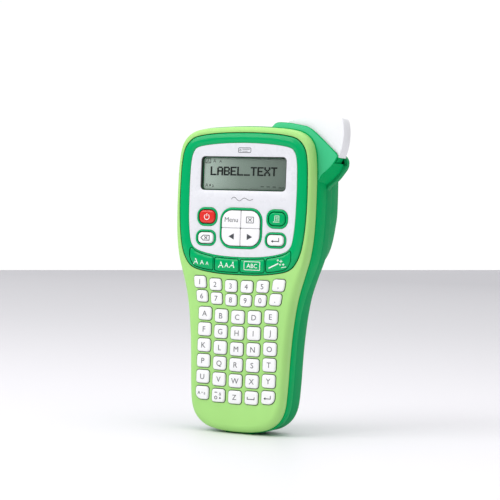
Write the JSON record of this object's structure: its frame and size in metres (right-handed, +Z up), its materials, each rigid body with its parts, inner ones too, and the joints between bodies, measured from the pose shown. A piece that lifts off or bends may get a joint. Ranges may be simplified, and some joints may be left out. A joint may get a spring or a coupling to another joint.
{
  "type": "label maker",
  "caption": "Hand-held electronic label maker with a display, a typing keypad, a side lever that cuts the tape, and a lift-off rear cover over the tape cassette and cells.",
  "frame": {"origin": "centre line of the small flat land on the lower end of the case, on which the label maker stands", "axes": "+X to the right of someone reading the keys, -Y out of the keyboard, +Z up the length from the grip to the head"},
  "size_m": [0.1125, 0.058, 0.2059],
  "materials": {
    "light_green_shell": "fine satin",
    "green_shell": "satin",
    "green_gloss": "polished",
    "rear_green": "satin",
    "white_panel": "semi-gloss",
    "white_key": "satin",
    "red_key": "semi-gloss",
    "window": "clear acrylic",
    "display": "grey-green display",
    "foam": "foam",
    "mat_rubber": "moulded rubber",
    "dark_rubber": "ground rubber",
    "board": "solder mask",
    "chip": "moulded",
    "flex": "polyimide film",
    "steel": "brushed",
    "motor_steel": "drawn",
    "spring_steel": "drawn wire",
    "brass": "machined",
    "gear_plastic": "natural acetal",
    "dark_plastic": "satin",
    "aluminium": "milled",
    "ceramic": "glazed ceramic",
    "cassette_clear": "translucent",
    "tape": "wound tape",
    "ink_ribbon": "wound film",
    "cell_wrap": "printed sleeve"
  },
  "bodies": {
    "case": {"front_case": "light_green_shell", "panel_bezel": "green_gloss", "face_plate": "white_panel", "lcd_window": "window", "lcd_gasket": "foam", "lcd_module": "display", "lcd_flex": "flex", "keypad_mat": "mat_rubber", "main_board": "board", "board_chips": "chip", "main_case": "green_shell", "case_screws": "steel", "lever_pin": "steel", "lever_spring": "spring_steel", "cutter_anvil": "motor_steel", "mech_chassis": "steel", "gear_shafts": "steel", "drive_motor": "motor_steel", "roller_holder": "dark_plastic", "print_head": "ceramic", "head_heat_sink": "aluminium", "cassette_base": "dark_plastic", "cassette_lid": "cassette_clear", "battery_cells": "cell_wrap", "battery_contacts": "spring_steel"},
    "rear_cover": {"back_cover": "rear_green"},
    "latch": {"cover_latch": "rear_green"},
    "lever": {"cutter_lever": "white_panel"},
    "blade": {"blade_holder": "gear_plastic", "cutter_blade": "steel"},
    "pinion": {"motor_pinion": "brass"},
    "reduction": {"reduction_gear": "gear_plastic"},
    "transfer": {"transfer_gear": "gear_plastic"},
    "platen": {"platen_gear": "gear_plastic", "platen_roller": "dark_rubber"},
    "idler": {"idler_gear": "gear_plastic"},
    "ribbon_drive": {"ribbon_spindle": "dark_plastic", "ribbon_takeup_spool": "ink_ribbon"},
    "tape_reel": {"tape_spool": "tape"},
    "ribbon_reel": {"ribbon_supply_spool": "ink_ribbon"},
    "power_key_body": {"power_key": "red_key"},
    "backspace_key_body": {"backspace_key": "white_key"},
    "menu_key_body": {"menu_key": "white_key"},
    "clear_key_body": {"clear_key": "white_key"},
    "cursor_left_key_body": {"cursor_left_key": "white_key"},
    "cursor_right_key_body": {"cursor_right_key": "white_key"},
    "print_key_body": {"print_key": "green_gloss"},
    "enter_key_body": {"enter_key": "white_key"},
    "size_key_body": {"size_key": "green_gloss"},
    "style_key_body": {"style_key": "green_gloss"},
    "frame_key_body": {"frame_key": "green_gloss"},
    "deco_key_body": {"deco_key": "green_gloss"},
    "digit_keys_upper_body": {"digit_keys_upper": "white_key"},
    "digit_keys_lower_body": {"digit_keys_lower": "white_key"},
    "letter_keys_a_to_e_body": {"letter_keys_a_to_e": "white_key"},
    "letter_keys_f_to_j_body": {"letter_keys_f_to_j": "white_key"},
    "letter_keys_k_to_o_body": {"letter_keys_k_to_o": "white_key"},
    "letter_keys_p_to_t_body": {"letter_keys_p_to_t": "white_key"},
    "letter_keys_u_to_y_body": {"letter_keys_u_to_y": "white_key"},
    "bottom_row_keys_body": {"bottom_row_keys": "white_key"}
  },
  "joints": [
    {"name": "platen_spin", "type": "hinge", "parent": "case", "child": "platen", "pos_m": [0.0187, 0, 0.14861], "axis": [0, 1, 0], "continuous": true},
    {"name": "transfer_spin", "type": "hinge", "parent": "case", "child": "transfer", "pos_m": [0.02669, 0, 0.1457], "axis": [0, 1, 0], "continuous": true},
    {"name": "reduction_spin", "type": "hinge", "parent": "case", "child": "reduction", "pos_m": [0.02094, 0, 0.13574], "axis": [0, 1, 0], "continuous": true},
    {"name": "pinion_spin", "type": "hinge", "parent": "case", "child": "pinion", "pos_m": [0.032, 0, 0.128], "axis": [0, 1, 0], "continuous": true},
    {"name": "idler_spin", "type": "hinge", "parent": "case", "child": "idler", "pos_m": [0.00884, 0, 0.14502], "axis": [0, 1, 0], "continuous": true},
    {"name": "ribbon_drive_spin", "type": "hinge", "parent": "case", "child": "ribbon_drive", "pos_m": [-0.00244, 0, 0.14912], "axis": [0, 1, 0], "continuous": true},
    {"name": "tape_reel_spin", "type": "hinge", "parent": "case", "child": "tape_reel", "pos_m": [-0.0225, 0, 0.1395], "axis": [0, 1, 0], "continuous": true},
    {"name": "ribbon_reel_spin", "type": "hinge", "parent": "case", "child": "ribbon_reel", "pos_m": [0.0015, 0, 0.128], "axis": [0, 1, 0], "continuous": true},
    {"name": "lever_press", "type": "hinge", "parent": "case", "child": "lever", "pos_m": [0.022, -0.0022, 0.1945], "axis": [0, 1, 0], "range_deg": [0, 5], "stiffness_Nm_per_rad": 0.6, "springref_deg": -8.59, "deforming": ["lever_spring"]},
    {"name": "blade_push", "type": "slide", "parent": "case", "child": "blade", "axis": [-1, 0, 0], "range_m": [0, 0.00231]},
    {"name": "cover_lift", "type": "slide", "parent": "case", "child": "rear_cover", "axis": [0, 1, 0], "range_m": [0, 0.045]},
    {"name": "latch_press", "type": "slide", "parent": "rear_cover", "child": "latch", "axis": [0, 0, -1], "range_m": [0, 0.0014], "stiffness_N_per_m": 400, "springref_m": -0.001},
    {"name": "power_press", "type": "slide", "parent": "case", "child": "power_key_body", "axis": [0, 1, 0], "range_m": [0, 0.001], "stiffness_N_per_m": 300, "springref_m": -0.0005},
    {"name": "backspace_press", "type": "slide", "parent": "case", "child": "backspace_key_body", "axis": [0, 1, 0], "range_m": [0, 0.001], "stiffness_N_per_m": 300, "springref_m": -0.0005},
    {"name": "menu_press", "type": "slide", "parent": "case", "child": "menu_key_body", "axis": [0, 1, 0], "range_m": [0, 0.001], "stiffness_N_per_m": 300, "springref_m": -0.0005},
    {"name": "clear_press", "type": "slide", "parent": "case", "child": "clear_key_body", "axis": [0, 1, 0], "range_m": [0, 0.001], "stiffness_N_per_m": 300, "springref_m": -0.0005},
    {"name": "cursor_left_press", "type": "slide", "parent": "case", "child": "cursor_left_key_body", "axis": [0, 1, 0], "range_m": [0, 0.001], "stiffness_N_per_m": 300, "springref_m": -0.0005},
    {"name": "cursor_right_press", "type": "slide", "parent": "case", "child": "cursor_right_key_body", "axis": [0, 1, 0], "range_m": [0, 0.001], "stiffness_N_per_m": 300, "springref_m": -0.0005},
    {"name": "print_press", "type": "slide", "parent": "case", "child": "print_key_body", "axis": [0, 1, 0], "range_m": [0, 0.001], "stiffness_N_per_m": 300, "springref_m": -0.0005},
    {"name": "enter_press", "type": "slide", "parent": "case", "child": "enter_key_body", "axis": [0, 1, 0], "range_m": [0, 0.001], "stiffness_N_per_m": 300, "springref_m": -0.0005},
    {"name": "size_press", "type": "slide", "parent": "case", "child": "size_key_body", "axis": [0, 1, 0], "range_m": [0, 0.001], "stiffness_N_per_m": 300, "springref_m": -0.0005},
    {"name": "style_press", "type": "slide", "parent": "case", "child": "style_key_body", "axis": [0, 1, 0], "range_m": [0, 0.001], "stiffness_N_per_m": 300, "springref_m": -0.0005},
    {"name": "frame_press", "type": "slide", "parent": "case", "child": "frame_key_body", "axis": [0, 1, 0], "range_m": [0, 0.001], "stiffness_N_per_m": 300, "springref_m": -0.0005},
    {"name": "deco_press", "type": "slide", "parent": "case", "child": "deco_key_body", "axis": [0, 1, 0], "range_m": [0, 0.001], "stiffness_N_per_m": 300, "springref_m": -0.0005},
    {"name": "digit_keys_upper_press", "type": "slide", "parent": "case", "child": "digit_keys_upper_body", "axis": [0, 1, 0], "range_m": [0, 0.001], "stiffness_N_per_m": 600, "springref_m": -0.0005},
    {"name": "digit_keys_lower_press", "type": "slide", "parent": "case", "child": "digit_keys_lower_body", "axis": [0, 1, 0], "range_m": [0, 0.001], "stiffness_N_per_m": 600, "springref_m": -0.0005},
    {"name": "letter_keys_a_to_e_press", "type": "slide", "parent": "case", "child": "letter_keys_a_to_e_body", "axis": [0, 1, 0], "range_m": [0, 0.001], "stiffness_N_per_m": 600, "springref_m": -0.0005},
    {"name": "letter_keys_f_to_j_press", "type": "slide", "parent": "case", "child": "letter_keys_f_to_j_body", "axis": [0, 1, 0], "range_m": [0, 0.001], "stiffness_N_per_m": 600, "springref_m": -0.0005},
    {"name": "letter_keys_k_to_o_press", "type": "slide", "parent": "case", "child": "letter_keys_k_to_o_body", "axis": [0, 1, 0], "range_m": [0, 0.001], "stiffness_N_per_m": 600, "springref_m": -0.0005},
    {"name": "letter_keys_p_to_t_press", "type": "slide", "parent": "case", "child": "letter_keys_p_to_t_body", "axis": [0, 1, 0], "range_m": [0, 0.001], "stiffness_N_per_m": 600, "springref_m": -0.0005},
    {"name": "letter_keys_u_to_y_press", "type": "slide", "parent": "case", "child": "letter_keys_u_to_y_body", "axis": [0, 1, 0], "range_m": [0, 0.001], "stiffness_N_per_m": 600, "springref_m": -0.0005},
    {"name": "bottom_row_keys_press", "type": "slide", "parent": "case", "child": "bottom_row_keys_body", "axis": [0, 1, 0], "range_m": [0, 0.001], "stiffness_N_per_m": 600, "springref_m": -0.0005}
  ],
  "couplings": [
    {"joint": "transfer_spin", "follows": "platen_spin", "ratio": -1.125},
    {"joint": "reduction_spin", "follows": "platen_spin", "ratio": 2.5714},
    {"joint": "pinion_spin", "follows": "platen_spin", "ratio": -7.3469},
    {"joint": "idler_spin", "follows": "platen_spin", "ratio": -0.75},
    {"joint": "ribbon_drive_spin", "follows": "platen_spin", "ratio": 0.75},
    {"joint": "tape_reel_spin", "follows": "platen_spin", "ratio": -0.29221},
    {"joint": "ribbon_reel_spin", "follows": "platen_spin", "ratio": -0.70312},
    {"joint": "blade_push", "follows": "lever_press", "m_per_rad": 0.0265}
  ]
}
